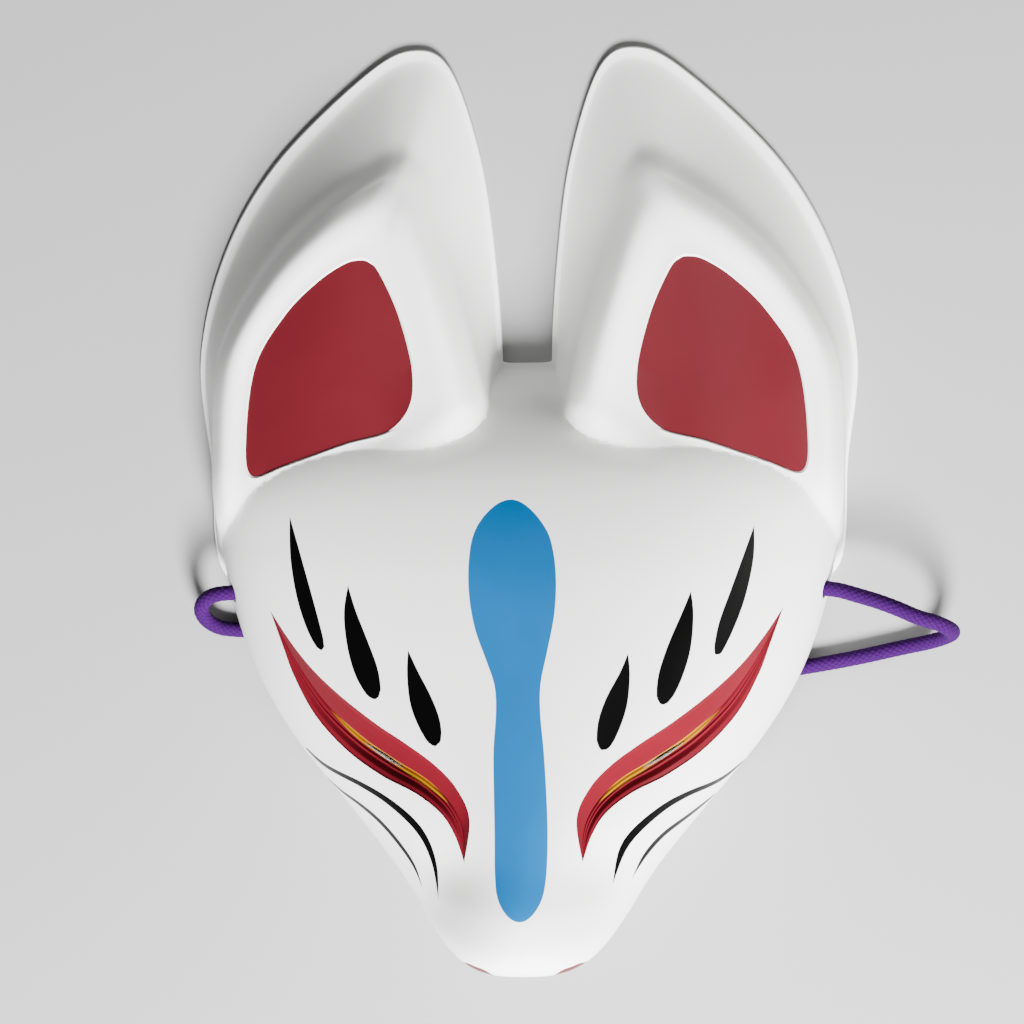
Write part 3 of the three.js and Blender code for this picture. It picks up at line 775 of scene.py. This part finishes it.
def paint_fields(piece):
    """Stores the distances from each painted mark's two sides, above 0 inside it"""
    mesh = piece.data
    points = vertex_positions(mesh)
    plan = points[:, :2]
    upward = points[:, 2] > 12
    low, high = -6.0, 2.5

    def store(name, a, b):
        store_field(mesh, name + "_a", np.clip(a, low, high))
        store_field(mesh, name + "_b", np.clip(b, low, high))

    for name, strokes in (
        ("stripe", (STRIPE,)),
        ("ink", (BROWS[0], BROWS[2], BROWS[3], BROWS[5], WHISKERS[0], WHISKERS[2])),
        ("dash", (BROWS[1], BROWS[4], WHISKERS[1], WHISKERS[3])),
    ):
        best_a, best_b = np.full(len(points), low), np.full(len(points), low)
        for stroke in strokes:
            left, right = stroke_sides(stroke)
            outline = np.vstack([left, right])
            near = upward & np.all((plan > outline.min(0) - 8) & (plan < outline.max(0) + 8), axis=1)
            a, b = -edge_distance(plan[near], left), edge_distance(plan[near], right)
            better = np.minimum(a, b) > np.minimum(best_a[near], best_b[near])
            rows = np.nonzero(near)[0][better]
            best_a[rows], best_b[rows] = a[better], b[better]
        store(name, best_a, best_b)

    muzzle = (plan[:, 1] < -108) & (points[:, 2] > 25) & (np.abs(plan[:, 0]) < 24)
    flat = np.stack([np.abs(points[:, 0]), points[:, 2]], axis=1)
    a, b = np.full(len(points), low), np.full(len(points), low)
    upper, lower = (through_rows(lip, np.linspace(0, len(lip) - 1, 8 * len(lip))) for lip in LIPS)
    a[muzzle] = -edge_distance(flat[muzzle], upper)
    b[muzzle] = edge_distance(flat[muzzle], lower)
    store("lip", a, b)


def socket_lookup():
    """Points of the socket's floor in a tree, and how far along and across it each lies and its width"""
    low, high = SOCKET_PROFILE[0][0], SOCKET_PROFILE[-1][0]
    along, share = np.meshgrid(np.linspace(0, len(EYE_UPPER) - 1, 341), np.linspace(low, high, 129))
    along, share = along.ravel(), share.ravel()
    samples = socket_points(along, share, SOCKET_PROFILE, 0)
    width = np.linalg.norm(through_rows(EYE_UPPER, along) - through_rows(EYE_LOWER, along), axis=1)
    tree = KDTree(len(samples))
    for i, point in enumerate(samples):
        tree.insert(point, i)
    tree.balance()
    return tree, np.stack([along, share, width], axis=1)


def gold_fields(piece, tree, lookup):
    """Stores the distances from the gold eyeball's two edges"""
    mesh = piece.data
    points = vertex_positions(mesh)
    a, b = np.full(len(points), -1.0), np.full(len(points), -1.0)
    near = (points[:, 2] > 20) & (points[:, 1] < -30)
    for i in np.nonzero(near)[0]:
        _, nearest, distance = tree.find((abs(points[i, 0]), points[i, 1], points[i, 2]))
        if distance < 0.6:
            along, share, width = lookup[nearest]
            start, stop, outer_low, inner_low, high = EYE_GOLD
            low = mix(outer_low, inner_low, float(smoothstep(5.1, 5.9, along)))
            ends = min(along - start, stop - along)
            taper = min(1.0, max(0.0, ends / GOLD_TAPER))
            a[i] = (share - low) * width - (1 - taper)
            b[i] = (high - share) * width - (1 - taper)
            if ends < 0:
                a[i] = min(a[i], ends * 6)
    store_field(mesh, "gold_a", a)
    store_field(mesh, "gold_b", b)


class MASK_OT_shell(bpy.types.Operator):
    """Build the moulded and painted shell"""

    bl_idname = "mask.shell"
    bl_label = "Mask shell"

    def execute(self, context):
        sizes = context.scene.mask_sizes
        colours = context.scene.mask_colours
        wall = sizes.wall / MM
        lacquer = lacquer_material(colours)
        panel = plain_paint("ear_red", colours.ear_red, 0.3)
        eye = eye_material(colours)
        inside = plain_paint("bare_plastic", colours.white, 0.42)
        slots = (lacquer, panel, eye, inside)

        def block(bm, slot):
            if slot:
                for item in bm.faces:
                    item.material_index = slot
            return new_piece("tool", bm, slots)

        shell = new_piece("mask_shell_painted", closed_block(face_grid(180, 200), -8), slots)
        ears = with_mirror(closed_block(ear_grid(220, EAR_RINGS, sizes, panel_paint), -8))
        ears = new_piece("tool", ears, slots)
        around = np.linspace(0, len(EAR_RIM), 180)
        rim, flange = (ear_points(around, np.full(180, ring), sizes)[:, :2] for ring in (0.0, 1.0))
        soften(ears.data, line_weights(ears.data, flange, 3, rim), 14)
        inner_arm = through_rows(EAR_ARMS, np.linspace(-2.4, 3, 60), True)
        soften(ears.data, line_weights(ears.data, inner_arm, 6), 40)
        combine(shell, ears, "UNION")
        # Where the ears meet the face: the fronts of the mounds, the notch and the cheeks, each as a box of
        # two corners and how far its softening reaches
        regions = (
            ((5, -6, 12), (31, 24, 45), 8),
            ((5, 16, 3.2), (24, 36, 30), 5),
            ((74, -30, 4), (92, 1, 30), 3.5),
        )
        weights = edge_weights(shell.data, regions)
        soften(shell.data, weights, 60)

        socket = eye_grid(64, 170, SOCKET_PROFILE, 0)
        tree, lookup = socket_lookup()
        combine(shell, block(with_mirror(closed_block(socket, 120)), 2), "DIFFERENCE")

        cavity = block(closed_block(offset_inward(face_grid(90, 100), wall), -9), 3)
        backs = with_mirror(closed_block(eye_grid(20, 60, SOCKET_BACK_PROFILE, 3.1), 120))
        combine(cavity, block(backs, 3), "DIFFERENCE")
        ear_backs = offset_inward(ear_grid(110, EAR_BACK_RINGS, sizes), wall)
        combine(cavity, block(with_mirror(closed_block(ear_backs, -9)), 3), "UNION")
        combine(shell, cavity, "DIFFERENCE")
        combine(shell, block(with_mirror(pupil_block()), 3), "DIFFERENCE")
        combine(shell, block(with_mirror(cord_hole_block()), 3), "DIFFERENCE")
        combine(shell, block(below_rim_block(), 3), "DIFFERENCE")

        paint_fields(shell)
        gold_fields(shell, tree, lookup)
        mesh = shell.data
        store_positions(mesh, vertex_positions(mesh) * MM)
        mesh.polygons.foreach_set("use_smooth", [True] * len(mesh.polygons))
        mesh.set_sharp_from_angle(angle=math.radians(32))
        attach(shell, "root")
        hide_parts("mask_shell")
        return {"FINISHED"}

# Cord


def braided_tube(points, radius, stitches, around, step):
    """A tube along points with the relief of a braid, with its stitch heights as an attribute"""
    points = np.asarray(points, float)
    dense = through_rows(points, np.linspace(0, len(points) - 1, 40 * len(points)))
    run = np.concatenate([[0], np.cumsum(np.linalg.norm(np.diff(dense, axis=0), axis=1))])
    rows = max(8, int(run[-1] / step))
    at = np.linspace(0, run[-1], rows + 1)
    line = np.stack([np.interp(at, run, dense[:, k]) for k in range(3)], axis=1)
    ahead = np.gradient(line, axis=0)
    ahead /= np.linalg.norm(ahead, axis=1)[:, None]
    side = np.cross(ahead[0], (0, 0, 1))
    sides = []
    for direction in ahead:
        side = side - direction * (side @ direction)
        side = side / np.linalg.norm(side)
        sides.append(side)
    sides = np.array(sides)
    ups = np.cross(sides, ahead)
    pitch = 2 * math.pi * radius / stitches * 1.15
    crown_at = {}

    def place(across, down):
        i = np.rint(down * rows).astype(int)
        turn = 2 * math.pi * across
        along = at[i] / pitch
        first, second = along + stitches * across, along - stitches * across
        one, two = first / 2 % 1, second / 2 % 1
        over_one = (np.floor(first / 2) + np.floor(second / 2)) % 2 == 0
        crown = np.where(over_one, 1 - (2 * two - 1) ** 2, 1 - (2 * one - 1) ** 2)
        ends = np.minimum(at[i], run[-1] - at[i])
        close = np.sqrt(np.clip(1 - (1 - np.clip(ends / 0.9, 0, 1)) ** 2, 0, 1))
        r = radius * close * (0.91 + 0.09 * crown)
        outward = np.cos(turn)[:, None] * sides[i] + np.sin(turn)[:, None] * ups[i]
        spots = line[i] + r[:, None] * outward
        for spot, value in zip(spots, crown):
            crown_at[tuple(np.round(spot, 3))] = value
        return spots

    bm = moved_grid(around, rows, place)
    bmesh.ops.recalc_face_normals(bm, faces=bm.faces)
    stitch = bm.verts.layers.float.new("stitch")
    for vert in bm.verts:
        vert[stitch] = crown_at.get(tuple(np.round(np.array(vert.co), 3)), 0.5)
    return bm, line


def finished_tube(name, bm, material):
    bmesh.ops.scale(bm, vec=(MM, MM, MM), verts=bm.verts)
    piece = new_piece(name, bm, [material])
    piece.data.polygons.foreach_set("use_smooth", [True] * len(piece.data.polygons))
    return piece


class MASK_OT_cord(bpy.types.Operator):
    """Build the braided elastic cord and its two knots"""

    bl_idname = "mask.cord"
    bl_label = "Elastic cord"

    def execute(self, context):
        sizes = context.scene.mask_sizes
        yarn = braid_material(context.scene.mask_colours)
        radius = 0.98 * sizes.cord / MM / 2
        bm, line = braided_tube(CORD_ROUTE, radius, sizes.stitches, 64, 0.21)
        cord = finished_tube("elastic_cord_braided", bm, yarn)
        for side, end in ((1, CORD_ROUTE[0]), (-1, CORD_ROUTE[-1])):
            middle = np.array(end) - (side * (sizes.knot / MM / 2 + 0.3), 0, 0)
            turn = np.linspace(0, 2 * math.pi, 25)
            loop = np.stack([
                -np.sin(3 * turn) * 1.15,
                np.sin(turn) + 2 * np.sin(2 * turn),
                np.cos(turn) - 2 * np.cos(2 * turn),
            ], axis=1) * (sizes.knot / MM / 2 - 1.95) / 3
            bm, _ = braided_tube(loop + middle, 1.9, sizes.stitches, 32, 0.3)
            name = "cord_knot_left" if side > 0 else "cord_knot_right"
            knot = finished_tube(name + "_tied", bm, yarn)
            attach(knot, "root")
            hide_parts(name)
        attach(cord, "root")
        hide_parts("elastic_cord")
        return {"FINISHED"}


class MASK_OT_stage(bpy.types.Operator):
    """Set the pale floor, the soft lights and the camera"""

    bl_idname = "mask.stage"
    bl_label = "Stage"

    def execute(self, context):
        scene = context.scene
        bm = bmesh.new()
        bmesh.ops.create_grid(bm, x_segments=8, y_segments=8, size=3)
        material = new_material("pale_floor", (0.3, 0.3, 0.3), 0.8)[0]
        floor = new_piece("floor", bm, [material])

        camera = bpy.data.objects.new("camera", bpy.data.cameras.new("camera"))
        camera.data.lens = 78.08
        camera.data.sensor_width = 36
        camera.data.clip_start = 0.01
        scene.collection.objects.link(camera)
        position = Vector((19.1, -7.4, 620)) * MM
        aim = Vector((-4.7, -7.4, 0)) * MM
        spin = math.radians(-0.5)
        ahead = (aim - position).normalized()
        right = ahead.cross(Vector((0, 1, 0))).normalized()
        up = right.cross(ahead)
        across = right * math.cos(spin) + up * math.sin(spin)
        upright = up * math.cos(spin) - right * math.sin(spin)
        turn = Matrix((across, upright, -ahead)).transposed().to_4x4()
        camera.matrix_world = Matrix.Translation(position) @ turn
        scene.camera = camera

        for name, place, size, power, tint in (
            ("key", (0.18, -0.78, 0.7), 0.4, 78.0, (1, 1, 1)),
            ("side", (0.85, 0.3, 0.36), 0.5, 4.5, (1, 0.99, 0.97)),
            ("top", (0.3, 0.7, 1.2), 0.8, 2.0, (1, 1, 1)),
        ):
            data = bpy.data.lights.new(name, "AREA")
            data.shape = "DISK"
            data.size = size
            data.energy = power
            data.color = tint
            light = bpy.data.objects.new(name, data)
            scene.collection.objects.link(light)
            light.location = place
            towards = Vector((0, -0.02, 0.02)) - Vector(place)
            light.rotation_euler = towards.to_track_quat("-Z", "Y").to_euler()
        world = bpy.data.worlds.new("studio")
        world.use_nodes = True
        world.node_tree.nodes["Background"].inputs["Color"].default_value = (1, 1, 1, 1)
        world.node_tree.nodes["Background"].inputs["Strength"].default_value = 0.07
        scene.world = world
        return {"FINISHED"}


class MASK_PT_build(bpy.types.Panel):
    """Shows the mask's sizes and colours in the sidebar, with buttons that build the stage, the cord and the
    shell
    """

    bl_idname = "MASK_PT_build"
    bl_label = "Kitsune mask"
    bl_space_type = "VIEW_3D"
    bl_region_type = "UI"
    bl_category = "Mask"

    def draw(self, context):
        column = self.layout.column()
        for group in (context.scene.mask_sizes, context.scene.mask_colours):
            for name in type(group).__annotations__:
                column.prop(group, name)
        for operator in (MASK_OT_stage, MASK_OT_cord, MASK_OT_shell):
            column.operator(operator.bl_idname)


CLASSES = (MaskSizes, MaskColours, MASK_OT_stage, MASK_OT_cord, MASK_OT_shell, MASK_PT_build)


def register():
    for item in CLASSES:
        bpy.utils.register_class(item)
    bpy.types.Scene.mask_sizes = PointerProperty(type=MaskSizes)
    bpy.types.Scene.mask_colours = PointerProperty(type=MaskColours)


def unregister():
    del bpy.types.Scene.mask_colours
    del bpy.types.Scene.mask_sizes
    for item in reversed(CLASSES):
        bpy.utils.unregister_class(item)


def main():
    register()
    bpy.ops.mask.stage()
    bpy.ops.mask.cord()
    bpy.ops.mask.shell()


if __name__ == "__main__":
    main()
